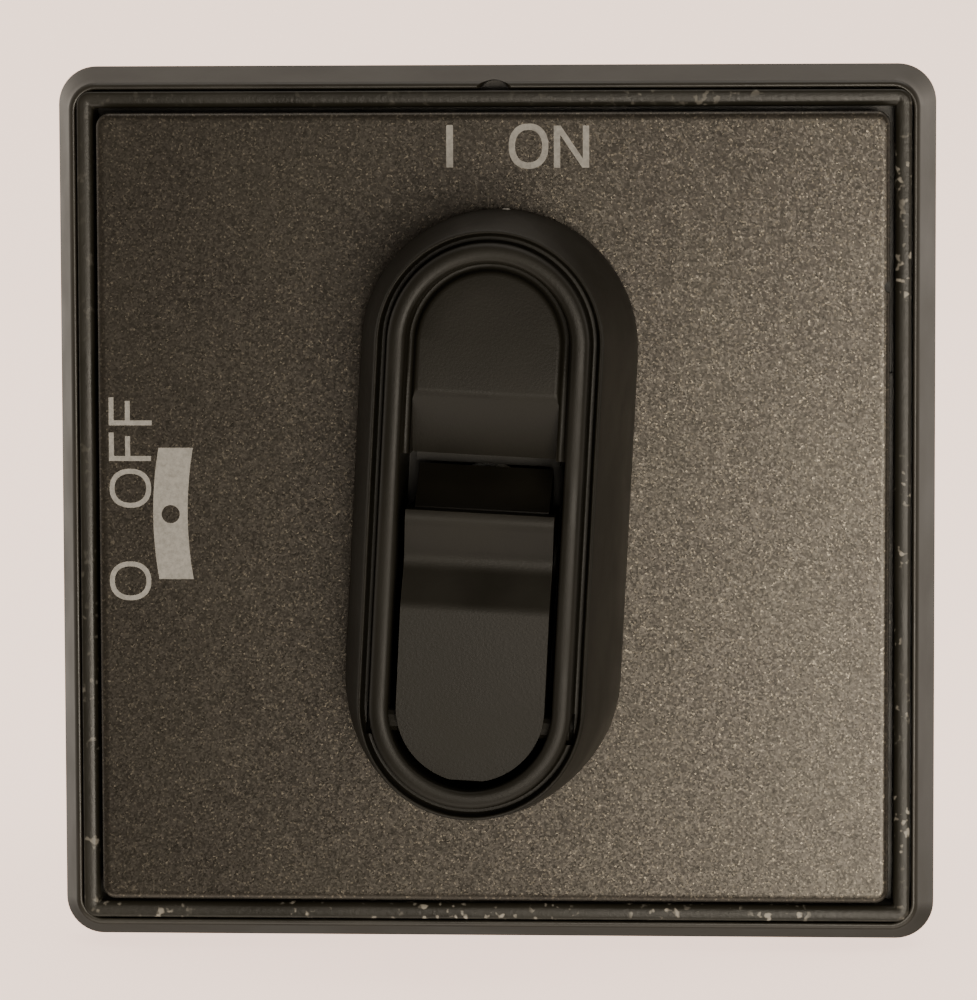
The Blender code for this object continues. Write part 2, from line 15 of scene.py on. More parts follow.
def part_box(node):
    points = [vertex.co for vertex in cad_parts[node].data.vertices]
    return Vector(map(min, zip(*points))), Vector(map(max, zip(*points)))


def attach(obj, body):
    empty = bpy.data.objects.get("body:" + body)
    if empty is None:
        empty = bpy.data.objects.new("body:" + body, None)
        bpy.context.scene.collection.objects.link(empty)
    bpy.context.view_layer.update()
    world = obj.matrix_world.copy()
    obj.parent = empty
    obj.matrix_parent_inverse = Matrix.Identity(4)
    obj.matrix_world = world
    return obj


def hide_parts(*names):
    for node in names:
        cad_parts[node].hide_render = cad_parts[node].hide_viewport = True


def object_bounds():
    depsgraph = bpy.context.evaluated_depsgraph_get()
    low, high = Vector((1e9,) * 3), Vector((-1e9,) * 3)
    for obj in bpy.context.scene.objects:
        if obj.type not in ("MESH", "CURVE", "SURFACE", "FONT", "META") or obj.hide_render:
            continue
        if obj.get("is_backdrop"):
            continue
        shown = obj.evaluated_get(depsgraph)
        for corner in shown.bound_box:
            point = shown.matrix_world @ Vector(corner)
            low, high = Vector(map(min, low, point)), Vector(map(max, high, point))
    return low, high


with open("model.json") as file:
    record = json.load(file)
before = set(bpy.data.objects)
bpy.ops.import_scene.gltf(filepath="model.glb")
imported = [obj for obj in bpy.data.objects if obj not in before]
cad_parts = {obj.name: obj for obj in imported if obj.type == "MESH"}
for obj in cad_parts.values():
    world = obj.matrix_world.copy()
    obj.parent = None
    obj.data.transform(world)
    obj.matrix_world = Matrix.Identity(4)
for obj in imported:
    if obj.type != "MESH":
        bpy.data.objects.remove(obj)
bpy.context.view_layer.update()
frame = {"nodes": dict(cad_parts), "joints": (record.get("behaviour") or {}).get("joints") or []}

MM = 0.001
STAND = Matrix.Rotation(math.pi / 2, 4, "X") @ Matrix.Scale(MM, 4)
FINE = 24  # steps in a quarter of a large round
STRAIGHT = 16  # steps along a stadium's straight side
SHARP = math.radians(38)  # edges that turn further than this are shaded sharp

KNOB_JOINT = next(j for j in frame["joints"] if j["name"] == "knob_turn")
LEVER_JOINT = next(j for j in frame["joints"] if j["name"] == "padlock_lever_lift")
TURN = 90.0  # degrees between the ON and OFF marks
REST = math.radians(KNOB_JOINT["range_deg"][1] - TURN)  # how far the handle stands past ON
PIVOT_Z = -LEVER_JOINT["pos_m"][1] / MM
PIVOT_Y = -math.hypot(LEVER_JOINT["pos_m"][0], LEVER_JOINT["pos_m"][2]) / MM


# ---- places read from the frame ----
def span(node):
    """The node's box in the layout, in mm: (x0, x1), (y0, y1), (z0, z1)."""
    low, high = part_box(node)
    return (
        (low.x / MM, high.x / MM),
        (low.z / MM, high.z / MM),
        (-high.y / MM, -low.y / MM),
    )


def top_of(node):
    return span(node)[2][1]


def rear_of(node):
    return span(node)[2][0]


def centre_of(node):
    return tuple(sum(pair) / 2 for pair in span(node))


# ---- outlines, lists of (x, y) in mm ----
def arc(cx, cy, r, start, end, steps):
    angles = [math.radians(start + (end - start) * i / steps) for i in range(steps + 1)]
    return [(cx + r * math.cos(a), cy + r * math.sin(a)) for a in angles]


def circle(r, at=(0, 0), steps=64):
    return arc(*at, r, 0, 360, steps)[:-1]


def rounded_rect(hx, hy, r, steps=8, at=(0, 0)):
    corners = ((hx - r, hy - r, 0), (r - hx, hy - r, 90), (r - hx, r - hy, 180), (hx - r, r - hy, 270))
    return [p for cx, cy, a in corners for p in arc(at[0] + cx, at[1] + cy, r, a, a + 90, steps)]


def rectangle(x0, x1, y0, y1):
    return [(x0, y0), (x1, y0), (x1, y1), (x0, y1)]


def divided(a, b, steps):
    """The points after a up to but not including b, on the straight between them."""
    return [tuple(p + (q - p) * i / steps for p, q in zip(a, b)) for i in range(1, steps)]


def stadium(w, s):
    """Two half rounds of radius w about (0, s) and (0, -s), joined by straights. It starts on the right."""
    upper, lower = arc(0, s, w, 0, 180, 2 * FINE), arc(0, -s, w, 180, 360, 2 * FINE)
    left = divided(upper[-1], lower[0], STRAIGHT)
    right = divided(lower[-1], upper[0], STRAIGHT)
    return upper + left + lower + right


# ---- solids, in mm ----
def hold(name, mesh):
    obj = bpy.data.objects.new(name, mesh)
    bpy.context.scene.collection.objects.link(obj)
    return obj


def baked(obj):
    """The object's mesh with its modifiers worked in."""
    bpy.context.view_layer.update()
    return bpy.data.meshes.new_from_object(obj.evaluated_get(bpy.context.evaluated_depsgraph_get()))


def drop(obj):
    bpy.data.objects.remove(obj)


def loft(rings, closed=False, crown=None):
    """Skins (outline, z) rings of equal counts, z being a number or a function of x and y.

    Given crown, the index of the outline's topmost point, the last ring is filled with rungs across x.
    """
    bm = bmesh.new()
    rows = []
    for outline, z in rings:
        height = z if callable(z) else (lambda x, y, level=z: level)
        rows.append([bm.verts.new((x, y, height(x, y))) for x, y in outline])
    count = len(rows[0])
    for low, high in zip(rows, rows[1:] + rows[:1]) if closed else zip(rows, rows[1:]):
        for i in range(count):
            j = (i + 1) % count
            bm.faces.new((low[i], low[j], high[j], high[i]))
    if crown is not None:
        last = rows[-1]
        for i in range(crown, crown + count // 2):
            corners = [last[k % count] for k in (i, i + 1, 2 * crown - i - 1, 2 * crown - i)]
            bm.faces.new(list(dict.fromkeys(corners)))
        bm.faces.new(rows[0][::-1])
    elif not closed:
        bm.faces.new(rows[0][::-1])
        bm.faces.new(rows[-1])
    bmesh.ops.recalc_face_normals(bm, faces=bm.faces)
    mesh = bpy.data.meshes.new("loft")
    bm.to_mesh(mesh)
    bm.free()
    return hold("loft", mesh)


def prism(loops, z0, z1):
    """A flat outline with holes, from z0 to z1. The first loop is the outside."""
    curve = bpy.data.curves.new("prism", "CURVE")
    curve.dimensions = "2D"
    curve.fill_mode = "BOTH"
    curve.extrude = abs(z1 - z0) / 2
    for loop in loops:
        spline = curve.splines.new("POLY")
        spline.points.add(len(loop) - 1)
        for point, (x, y) in zip(spline.points, loop):
            point.co = (x, y, 0, 1)
        spline.use_cyclic_u = True
    flat = hold("outline", curve)
    mesh = baked(flat)
    drop(flat)
    bm = bmesh.new()
    bm.from_mesh(mesh)
    bmesh.ops.remove_doubles(bm, verts=bm.verts, dist=0.0005)
    bmesh.ops.dissolve_limit(bm, angle_limit=math.radians(0.5), verts=bm.verts, edges=bm.edges)
    bmesh.ops.translate(bm, verts=bm.verts, vec=(0, 0, (z0 + z1) / 2))
    bm.to_mesh(mesh)
    bm.free()
    return hold("prism", mesh)


def turned(profile, steps=64):
    """Turns a profile of (radius, z), given down its outer side, about the z axis."""
    mesh = bpy.data.meshes.new("turned")
    mesh.from_pydata([(r, 0, z) for r, z in profile], [(i, i + 1) for i in range(len(profile) - 1)], [])
    body = hold("turned", mesh)
    screw = body.modifiers.new("turn", "SCREW")
    screw.steps = screw.render_steps = steps
    screw.use_merge_vertices = True
    screw.merge_threshold = 0.0001
    body.data = baked(body)
    body.modifiers.clear()
    return body


def rounding(edge, steps=4):
    """(inset, depth) pairs that round an edge over, from the face to the side."""
    return [
        (edge * (1 - math.sin(a)), edge * (1 - math.cos(a)))
        for a in (math.pi / 2 * i / steps for i in range(steps + 1))
    ]


def slab(hx, hy, corner, z0, z1, edge=0.3, at=(0, 0), steps=8, low_edge=None):
    """A block with rounded corners, its upper and lower rims rounded over."""
    low_edge = edge if low_edge is None else low_edge
    rings = [(i, z0 + d) for i, d in rounding(low_edge)]
    rings += [(i, z1 - d) for i, d in reversed(rounding(edge))]
    outline = [
        (rounded_rect(hx - i, hy - i, max(corner - i, 0.03), steps, at), z)
        for i, z in rings
    ]
    return loft(outline)


def disc(r, z0, z1, edge=0.2, at=(0, 0), steps=64):
    rings = [(i, z0 + d) for i, d in rounding(edge)]
    rings += [(i, z1 - d) for i, d in reversed(rounding(edge))]
    return loft([(circle(r - i, at, steps), z) for i, z in rings])


def hole(r, floor, mouth, at=(0, 0), flare=0.15, steps=48):
    """A cutter for a round hole from floor up to mouth, with a chamfer at the mouth."""
    rings = [(r, floor), (r, mouth - flare), (r + flare, mouth), (r + flare, mouth + 1)]
    return loft([(circle(radius, at, steps), z) for radius, z in rings])


def pocket(hx, hy, corner, floor, mouth, flare):
    """A cutter for a rectangular recess, with a chamfer at the mouth."""
    rings = [(0, floor), (0, mouth - flare), (flare, mouth), (flare, mouth + 1)]
    return loft([(rounded_rect(hx + i, hy + i, corner + i, 5), z) for i, z in rings])


def moved(body, matrix):
    body.data.transform(matrix)
    return body


def toward_x(body, sign=1):
    """Lays a body that stands along z so that its top points along x."""
    return moved(body, Matrix.Rotation(sign * math.pi / 2, 4, "Y"))


def toward_y(body, sign=1):
    return moved(body, Matrix.Rotation(-sign * math.pi / 2, 4, "X"))


def shifted(body, x=0, y=0, z=0):
    return moved(body, Matrix.Translation((x, y, z)))


def combine(body, tool, operation):
    modifier = body.modifiers.new("boolean", "BOOLEAN")
    modifier.operation = operation
    modifier.object = tool
    body.data = baked(body)
    body.modifiers.clear()
    drop(tool)
    return body


def cut(body, *tools):
    for tool in tools:
        combine(body, tool, "DIFFERENCE")
    return body


def join(body, *others):
    for other in others:
        combine(body, other, "UNION")
    return body


def soften(body, width, segments=2, angle=40):
    """Rounds every edge that is sharper than angle."""
    bevel = body.modifiers.new("bevel", "BEVEL")
    bevel.width = width
    bevel.segments = segments
    bevel.limit_method = "ANGLE"
    bevel.angle_limit = math.radians(angle)
    bevel.use_clamp_overlap = True
    bevel.miter_outer = "MITER_ARC"
    body.data = baked(body)
    body.modifiers.clear()
    return body


def piece(body, name, material, rides, replaces=(), turn=0.0, at=(0, 0, 0)):
    """Stands a finished body up, names and shades it, and hangs it on the CAD body it moves with."""
    body.name = body.data.name = name
    body.data.transform(STAND @ Matrix.Translation(at) @ Matrix.Rotation(turn, 4, "Z"))
    body.data.materials.clear()
    body.data.materials.append(material)
    body.data.shade_smooth()
    body.data.set_sharp_from_angle(angle=SHARP)
    weighted = body.modifiers.new("normals", "WEIGHTED_NORMAL")
    weighted.keep_sharp = True
    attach(body, rides)
    if replaces:
        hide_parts(*([replaces] if isinstance(replaces, str) else replaces))
    return body


# ---- materials ----
NICK_AND_GLINT = (0.42, 0.39, 0.33)  # pale colour of painted glints on the rim, partly bare plastic in a fresh nick
FLAKES_PER_MM = 8.5
FLAKE_TILT = 0.06  # how far a flake's normal may lean, in all


def node(tree, kind, **inputs):
    """Adds a shader node. An input given a socket is linked, and one given a value is set."""
    made = tree.nodes.new("ShaderNode" + kind)
    for key, value in inputs.items():
        name = key.replace("_", " ")
        if hasattr(made, key) and name not in made.inputs:
            setattr(made, key, value)
        elif isinstance(value, bpy.types.NodeSocket):
            tree.links.new(value, made.inputs[name])
        else:
            made.inputs[name].default_value = value
    return made


def shader_of(name, color, roughness, metallic=0.0):
    material = bpy.data.materials.new(name)
    material.use_nodes = True
    shader = material.node_tree.nodes["Principled BSDF"]
    shader.inputs["Base Color"].default_value = (*color, 1)
    shader.inputs["Roughness"].default_value = roughness
    shader.inputs["Metallic"].default_value = metallic
    return material, material.node_tree, shader


def millimetres(tree, stretch=(1, 1, 1)):
    """Object coordinates in mm, so that a texture's scale is a count per mm."""
    coordinates = node(tree, "TexCoord").outputs["Object"]
    scale = tuple(s / MM for s in stretch)
    return node(tree, "Mapping", Vector=coordinates, Scale=scale).outputs["Vector"]


def spread(tree, value, low, high, start=0.0, end=1.0):
    """Maps value from start..end to low..high, clamped."""
    mapped = node(tree, "MapRange", Value=value)
    mapped.inputs["From Min"].default_value = start
    mapped.inputs["From Max"].default_value = end
    mapped.inputs["To Min"].default_value = low
    mapped.inputs["To Max"].default_value = high
    return mapped.outputs["Result"]


def blended(tree, factor, a, b):
    mix = tree.nodes.new("ShaderNodeMix")
    mix.data_type = "RGBA"
    for socket, value in ((mix.inputs[0], factor), (mix.inputs[6], a), (mix.inputs[7], b)):
        if isinstance(value, bpy.types.NodeSocket):
            tree.links.new(value, socket)
        else:
            socket.default_value = (*value, 1) if isinstance(value, tuple) else value
    return mix.outputs[2]


def multiplied(tree, a, b):
    product = node(tree, "Math", operation="MULTIPLY")
    tree.links.new(a, product.inputs[0])
    tree.links.new(b, product.inputs[1])
    return product.outputs["Value"]


def edge_mask(tree):
    """A mask that is high along edges: where a rounded normal leaves the true one."""
    bevel = node(tree, "Bevel", Radius=0.12 * MM)
    bevel.samples = 4
    true_normal = node(tree, "NewGeometry").outputs["Normal"]
    dot = node(tree, "VectorMath", operation="DOT_PRODUCT")
    tree.links.new(bevel.outputs["Normal"], dot.inputs[0])
    tree.links.new(true_normal, dot.inputs[1])
    return spread(tree, dot.outputs["Value"], 1.0, 0.0, 0.86, 0.995)


def glints_and_scuffs(tree, place, base, share):
    """Pale specks in loose patches, most of them on the right and lower sides: partly worn plastic, partly
    painted glints of the low key light on the right.
    """
    patch = node(tree, "TexNoise", Vector=place, Scale=0.30, Detail=2.0).outputs["Fac"]
    speck = node(tree, "TexNoise", Vector=place, Scale=2.2, Detail=1.0, Roughness=0.4).outputs["Fac"]
    patches = spread(tree, patch, 0.0, share, 0.50, 0.60)
    nicks_and_glints = multiplied(tree, patches, spread(tree, speck, 0.0, 1.0, 0.60, 0.70))
    at = node(tree, "SeparateXYZ", Vector=place)
    lit_right_and_low = node(tree, "Math", operation="SUBTRACT")
    tree.links.new(at.outputs["X"], lit_right_and_low.inputs[0])
    tree.links.new(at.outputs["Z"], lit_right_and_low.inputs[1])
    # The share grows to the right and downwards, towards the low key light on the right: painted glints.
    side = spread(tree, lit_right_and_low.outputs["Value"], 0.1, 1.0, -25.0, 15.0)
    return blended(tree, multiplied(tree, nicks_and_glints, side), base, NICK_AND_GLINT)


def plastic(
    name,
    color,
    roughness,
    grain=7.0,
    grain_depth=0.012,
    edge_wear_and_glint=(0.07, 0.062, 0.05),
    edge_wear_and_glint_share=0.35,
    gloss=0.5,
    glint_scuffs=0.0,
):
    """Moulded plastic: a fine sparked grain, faint clouding, and edges a little paler, as worn plastic is; on
    the rim the pale edges are also painted glints of the key light.
    """
    material, tree, shader = shader_of(name, color, roughness)
    shader.inputs["Specular IOR Level"].default_value = gloss
    place = millimetres(tree)
    cloud = node(tree, "TexNoise", Vector=place, Scale=0.16, Detail=4.0).outputs["Fac"]
    fine = node(tree, "TexNoise", Vector=place, Scale=grain, Detail=2.0, Roughness=0.6).outputs["Fac"]
    paler = tuple(min(1.0, c * 1.5 + 0.004) for c in color)
    base = blended(tree, spread(tree, cloud, 0.0, 0.7, 0.35, 0.7), color, paler)
    edge_patchiness = node(tree, "TexNoise", Vector=place, Scale=1.3, Detail=3.0).outputs["Fac"]
    # Paler edges: worn plastic, and on the rim painted glints.
    mask = multiplied(tree, edge_mask(tree), spread(tree, edge_patchiness, 0.0, edge_wear_and_glint_share, 0.42, 0.68))
    base = blended(tree, mask, base, edge_wear_and_glint)
    if glint_scuffs:
        base = glints_and_scuffs(tree, place, base, glint_scuffs)
    tree.links.new(base, shader.inputs["Base Color"])
    rough = spread(tree, cloud, roughness - 0.06, roughness + 0.08, 0.3, 0.7)
    tree.links.new(rough, shader.inputs["Roughness"])
    bump = node(tree, "Bump", Strength=0.35, Distance=grain_depth * MM, Height=fine)
    tree.links.new(bump.outputs["Normal"], shader.inputs["Normal"])
    return material


def legend_film():
    """Dark anthracite lacquer full of fine metallic flakes, each tilted its own way."""
    material, tree, shader = shader_of("legend_film", (0.05, 0.044, 0.034), 0.4)
    place = millimetres(tree)
    flakes = node(tree, "TexVoronoi", Vector=place, Scale=FLAKES_PER_MM)
    shade = node(tree, "SeparateColor", Color=flakes.outputs["Color"])
    cloud = node(tree, "TexNoise", Vector=place, Scale=0.12, Detail=5.0).outputs["Fac"]
    blotch = node(tree, "TexNoise", Vector=place, Scale=1.9, Detail=3.0, Roughness=0.7)
    dark, mid, bright = (0.018, 0.0155, 0.011), (0.043, 0.037, 0.028), (0.17, 0.15, 0.117)
    base = blended(tree, shade.outputs["Red"], dark, mid)
    blotches = spread(tree, blotch.outputs["Fac"], 0.0, 0.5, 0.35, 0.7)
    base = blended(tree, blotches, base, (0.050, 0.042, 0.035))
    base = blended(tree, spread(tree, cloud, 0.0, 0.3, 0.4, 0.75), base, (0.054, 0.049, 0.036))
    glint = spread(tree, shade.outputs["Green"], 0.0, 0.7, 0.86, 0.99)
    base = blended(tree, glint, base, bright)
    tree.links.new(base, shader.inputs["Base Color"])
    tree.links.new(spread(tree, glint, 0.5, 0.9), shader.inputs["Metallic"])
    tree.links.new(spread(tree, shade.outputs["Blue"], 0.26, 0.34), shader.inputs["Roughness"])
    tilt = node(tree, "VectorMath", operation="MULTIPLY_ADD")
    tree.links.new(flakes.outputs["Color"], tilt.inputs[0])
    tilt.inputs[1].default_value = (FLAKE_TILT,) * 3
    tilt.inputs[2].default_value = (-FLAKE_TILT / 2,) * 3
    leaning = node(tree, "VectorMath", operation="ADD")
    tree.links.new(node(tree, "NewGeometry").outputs["Normal"], leaning.inputs[0])
    tree.links.new(tilt.outputs["Vector"], leaning.inputs[1])
    normal = node(tree, "VectorMath", operation="NORMALIZE")
    tree.links.new(leaning.outputs["Vector"], normal.inputs[0])
    tree.links.new(normal.outputs["Vector"], shader.inputs["Normal"])
    return material


def print_ink():
    """Screen-printed white ink, a little thin in places."""
    material, tree, shader = shader_of("print_ink", (0.52, 0.50, 0.44), 0.6)
    place = millimetres(tree)
    mottle = node(tree, "TexNoise", Vector=place, Scale=3.5, Detail=4.0, Roughness=0.7).outputs["Fac"]
    base = blended(tree, spread(tree, mottle, 0.0, 1.0, 0.30, 0.62), (0.26, 0.25, 0.225), (0.40, 0.385, 0.35))
    tree.links.new(base, shader.inputs["Base Color"])
    return material


def metal(name, color, roughness, stretch=(1, 1, 1), tint=None):
    """Plated or drawn metal: streaked roughness and a slight change of tint."""
    material, tree, shader = shader_of(name, color, roughness, 1.0)
    place = millimetres(tree, stretch)
    streak = node(tree, "TexNoise", Vector=place, Scale=4.0, Detail=4.0, Roughness=0.65).outputs["Fac"]
    cloud = node(tree, "TexNoise", Vector=millimetres(tree), Scale=0.5, Detail=3.0).outputs["Fac"]
    tint = tint or tuple(c * 0.72 for c in color)
    base = blended(tree, spread(tree, cloud, 0.0, 1.0, 0.35, 0.7), color, tint)
    tree.links.new(base, shader.inputs["Base Color"])
    rough = spread(tree, streak, roughness - 0.1, roughness + 0.15, 0.3, 0.7)
    tree.links.new(rough, shader.inputs["Roughness"])
    bump = node(tree, "Bump", Strength=0.4, Distance=0.004 * MM, Height=streak)
    tree.links.new(bump.outputs["Normal"], shader.inputs["Normal"])
    return material


def rubber():
    material, tree, shader = shader_of("rubber", (0.018, 0.018, 0.017), 0.82)
    place = millimetres(tree)
    dust = node(tree, "TexNoise", Vector=place, Scale=1.1, Detail=6.0, Roughness=0.7).outputs["Fac"]
    base = blended(tree, spread(tree, dust, 0.0, 0.5, 0.5, 0.75), (0.018, 0.018, 0.017), (0.06, 0.057, 0.052))
    tree.links.new(base, shader.inputs["Base Color"])
    fine = node(tree, "TexNoise", Vector=place, Scale=9.0, Detail=2.0).outputs["Fac"]
    bump = node(tree, "Bump", Strength=0.5, Distance=0.02 * MM, Height=fine)
    tree.links.new(bump.outputs["Normal"], shader.inputs["Normal"])
    return material


BLACK = plastic("black_plastic", (0.0085, 0.0075, 0.0046), 0.45, grain=5.5, grain_depth=0.03, gloss=0.25)
# The base plate's wall: the same black plastic painted paler, a painted sheen of the pale room at grazing
# angles.
WALL_WITH_PAINTED_SHEEN = plastic("black_plastic_wall_painted_sheen", (0.020, 0.0175, 0.012), 0.36)
# The rim: its pale edge colour, wide edge share and pale specks are painted glints of the low key light along
# its right and lower edges, besides some worn plastic.
BLACK_RIM = plastic(
    "black_plastic_rim",
    (0.015, 0.0135, 0.009),
    0.36,
    grain=3.4,
    grain_depth=0.05,
    edge_wear_and_glint=(0.32, 0.29, 0.24),
    edge_wear_and_glint_share=0.9,
    gloss=0.35,
    glint_scuffs=0.8,
)
GREY = plastic("grey_plastic", (0.135, 0.135, 0.13), 0.48, grain=5.0, edge_wear_and_glint=(0.30, 0.30, 0.29), edge_wear_and_glint_share=0.5)
NYLON = plastic("rotor_nylon", (0.60, 0.58, 0.52), 0.42, grain=3.0, edge_wear_and_glint=(0.7, 0.68, 0.62))
LEGEND = legend_film()
INK = print_ink()
RUBBER = rubber()
STEEL = metal("zinc_plated_steel", (0.60, 0.61, 0.60), 0.30, tint=(0.56, 0.54, 0.44))
SHAFT = metal("shaft_steel", (0.46, 0.46, 0.45), 0.36, stretch=(3, 0.2, 3))
BRASS = metal("brass", (0.72, 0.53, 0.25), 0.30, stretch=(0.4, 2, 2))
COPPER = metal("silvered_copper", (0.80, 0.58, 0.42), 0.28, tint=(0.72, 0.70, 0.66))


# ---- places shared by several pieces, in mm ----
SCREW_SQUARE = 24.0  # the panel screws stand at plus and minus this, both ways
HUB_BORE = 6.3  # radius of the bore that the hub and rotors turn in
TIE_BORE = 1.7  # radius of the tie screws' holes
TERMINAL_X, TERMINAL_Y = 15.0, 20.8  # the wire entries' centre and the terminal screws' axis


# ---- front, fixed ----
NOTCH_AT = (0.1, 27.85)


def base_plate():
    """The drafted outer frame: wall, rounded shoulder, the groove's outer lip, and the tray behind."""
    (_, half), _, (low, top) = span("base_plate")
    corner, recess = 2.6, 28.5
    rings = [(half - 0.35, corner - 0.35, low), (half - 0.1, corner - 0.1, low + 0.1)]
    rings += [(half, corner, low + 0.35)]
    rings += [(half - 1.1 * t, corner - 0.7 * t, low + 0.35 + 3.2 * t) for t in (0.25, 0.5, 0.75, 1.0)]
    shoulder = [(28.86, 1.85, 0.30), (28.80, 1.8, 0.17), (28.70, 1.75, 0.07), (28.58, 1.65, 0.02)]
    rings += [(h, r, top - d) for h, r, d in shoulder]
    rings += [(28.47, 1.55, top - 0.03), (28.41, 1.5, top - 0.08), (28.38, 1.45, top - 0.18)]
    rings += [(28.38, 1.4, top - 0.8), (recess, 1.3, top - 0.9)]
    rings += [(recess, 1.2, 2.7), (11.2, 10.0, 2.7), (11.2, 10.0, low)]
    body = loft([(rounded_rect(h, h, r, 12), z) for h, r, z in rings], closed=True)
    hub = disc(11.8, low + 0.02, 4.5, 0.2)
    cut(hub, hole(8.8, low - 1, 4.5, steps=64))
    join(body, hub)
    notch = [(1.1, 3.5), (1.15, 5.0), (1.2, 5.3), (1.35, 5.5), (1.35, 7.0)]
    cut(body, loft([(circle(r, NOTCH_AT, 32), z) for r, z in notch]))
    piece(body, "base_plate_skin", WALL_WITH_PAINTED_SHEEN, "base", "base_plate")


def cover_frame():
    """The narrow rounded rim between the groove and the legend plate."""
    top = top_of("cover_frame")
    outer, inner = 28.26, 27.12
    rings = [(outer, top - 2.7), (outer, top - 0.2), (outer - 0.04, top - 0.09), (outer - 0.12, top - 0.03)]
    rings += [(outer - 0.26, top - 0.005), (outer - 0.5, top), (inner + 0.38, top - 0.02)]
    rings += [(inner + 0.2, top - 0.09), (inner + 0.07, top - 0.24), (inner, top - 0.45), (inner, top - 2.7)]
    corner = 0.9
    outlines = [(rounded_rect(h, h, corner - (outer - h), 8), z) for h, z in rings if corner > outer - h]
    outlines += [(rounded_rect(h, h, 0.05, 8), z) for h, z in rings if corner <= outer - h]
    body = loft(outlines, closed=True)
    reach, ledge_top, neck_top = 9.0, 4.5, 3.4
    under_plate = span("legend_plate")[0][1] - 0.15
    for sign in (-1, 1):
        for near, far, ledge in ((26.0, under_plate, ledge_top), (under_plate - 0.2, inner + 0.3, neck_top)):
            x0, x1 = sorted((sign * near, sign * far))
            join(
                body,
                prism([rectangle(x0, x1, -reach, reach)], top - 2.7, ledge),
                prism([rectangle(-reach, reach, x0, x1)], top - 2.7, ledge),
            )
    piece(body, "cover_frame_skin", BLACK_RIM, "base", "cover_frame")


def legend_plate():
    """The flaked plate, its rim rolled over, with a nick in its right edge."""
    (_, half), _, (low, top) = span("legend_plate")
    corner = 0.9
    roll = [(0.0, 0.45), (0.03, 0.28), (0.10, 0.14), (0.22, 0.05), (0.40, 0.01), (0.60, 0.0)]
    rings = [(rounded_rect(half - 0.1, half - 0.1, corner - 0.1, 8), low)]
    rings += [(rounded_rect(half, half, corner, 8), low + 0.1)]
    rings += [(rounded_rect(half - i, half - i, max(corner - i, 0.3), 8), top - d) for i, d in roll]
    body = loft(rings)
    cut(
        body,
        hole(8.3, low - 1, top, flare=0.12, steps=96),
        shifted(disc(0.42, low - 1, top + 1, 0.05, steps=24), half + 0.05, 15.0),
    )
    piece(body, "legend_plate_film", LEGEND, "base", "legend_plate")


# ---- printed marks ----
INK_HEIGHT = 0.02


def stroke(x0, x1, y0, y1):
    return rounded_rect((x1 - x0) / 2, (y1 - y0) / 2, 0.05, 2, ((x0 + x1) / 2, (y0 + y1) / 2))


def oval(cx, cy, hx, hy, power=2.25, steps=64):
    """A slightly squared ellipse, as a grotesque letter O has."""
    points = []
    for i in range(steps):
        a = 2 * math.pi * i / steps
        c, s = math.cos(a), math.sin(a)
        x = hx * math.copysign(abs(c) ** (2 / power), c)
        y = hy * math.copysign(abs(s) ** (2 / power), s)
        points.append((cx + x, cy + y))
    return points


def mark(name, *shapes):
    """One printed mark, from shapes that are each a list of loops: the outside, then any holes."""
    top = top_of("legend_plate")
    body = None
    for loops in shapes:
        shape = prism(loops, top - INK_HEIGHT, top + INK_HEIGHT)
        body = shape if body is None else join(body, shape)
    piece(body, name, INK, "base")


def letter_o(cx, cy, width, height, pen):
    hx, hy = width / 2, height / 2
    return [oval(cx, cy, hx, hy), oval(cx, cy, hx - pen, hy - pen)[::-1]]


def letter_n(x0, x1, y0, y1, pen):
    diagonal = pen * 1.25
    return [
        [(x0, y0), (x0 + pen, y0), (x0 + pen, y1 - 0.62), (x1 - diagonal * 0.86, y0), (x1, y0), (x1, y1)]
        + [(x1 - pen, y1), (x1 - pen, y0 + 0.62), (x0 + diagonal * 0.86, y1), (x0, y1)]
    ]


def turned_f(x_top, x_foot, y, arm, middle_arm, pen):
    """A letter F that reads upwards: its stem lies along x and its arms point to +y."""
    half = pen / 2
    x_middle = x_top + 1.28
    return [
        [(x_foot, y - half), (x_foot, y + half), (x_middle + half, y + half)]
        + [(x_middle + half, y + middle_arm), (x_middle - half, y + middle_arm), (x_middle - half, y + half)]
        + [(x_top + pen, y + half), (x_top + pen, y + arm), (x_top, y + arm), (x_top, y - half)]
    ]


def arc_mark():
    """The broad bar beside OFF: two shallow arcs, square ends and a round window."""
    outer_x, inner_x, low, high, bend = -23.07, -20.72, -4.80, 4.15, 26.0

    def bow(x, y):
        return x + bend - math.sqrt(bend**2 - (y + 0.35) ** 2)

    steps = 24
    heights = [low + (high - low) * i / steps for i in range(steps + 1)]
    outline = [(bow(outer_x, y), y) for y in reversed(heights)] + [(bow(inner_x, y), y) for y in heights]
    return [outline, circle(0.62, (-21.88, -0.37), 32)[::-1]]


def printed_marks():
    pen, thin = 0.43, 0.34
    mark("mark_I", [stroke(-3.01, -2.55, 23.08, 25.93)])
    mark("mark_ON_o", letter_o(2.54, 24.5, 2.68, 3.04, pen))
    mark("mark_ON_n", letter_n(4.24, 6.62, 23.05, 25.88, pen))
    mark("mark_O", letter_o(-24.66, -4.93, 2.84, 2.66, thin))
    mark("mark_OFF_o", letter_o(-24.62, 1.39, 2.84, 2.66, thin))
    mark("mark_OFF_f1", turned_f(-26.06, -23.2, 3.42, 1.76, 1.52, thin))
    mark("mark_OFF_f2", turned_f(-26.06, -23.12, 5.84, 1.74, 1.50, thin))
    mark("mark_OFF_bar", arc_mark())


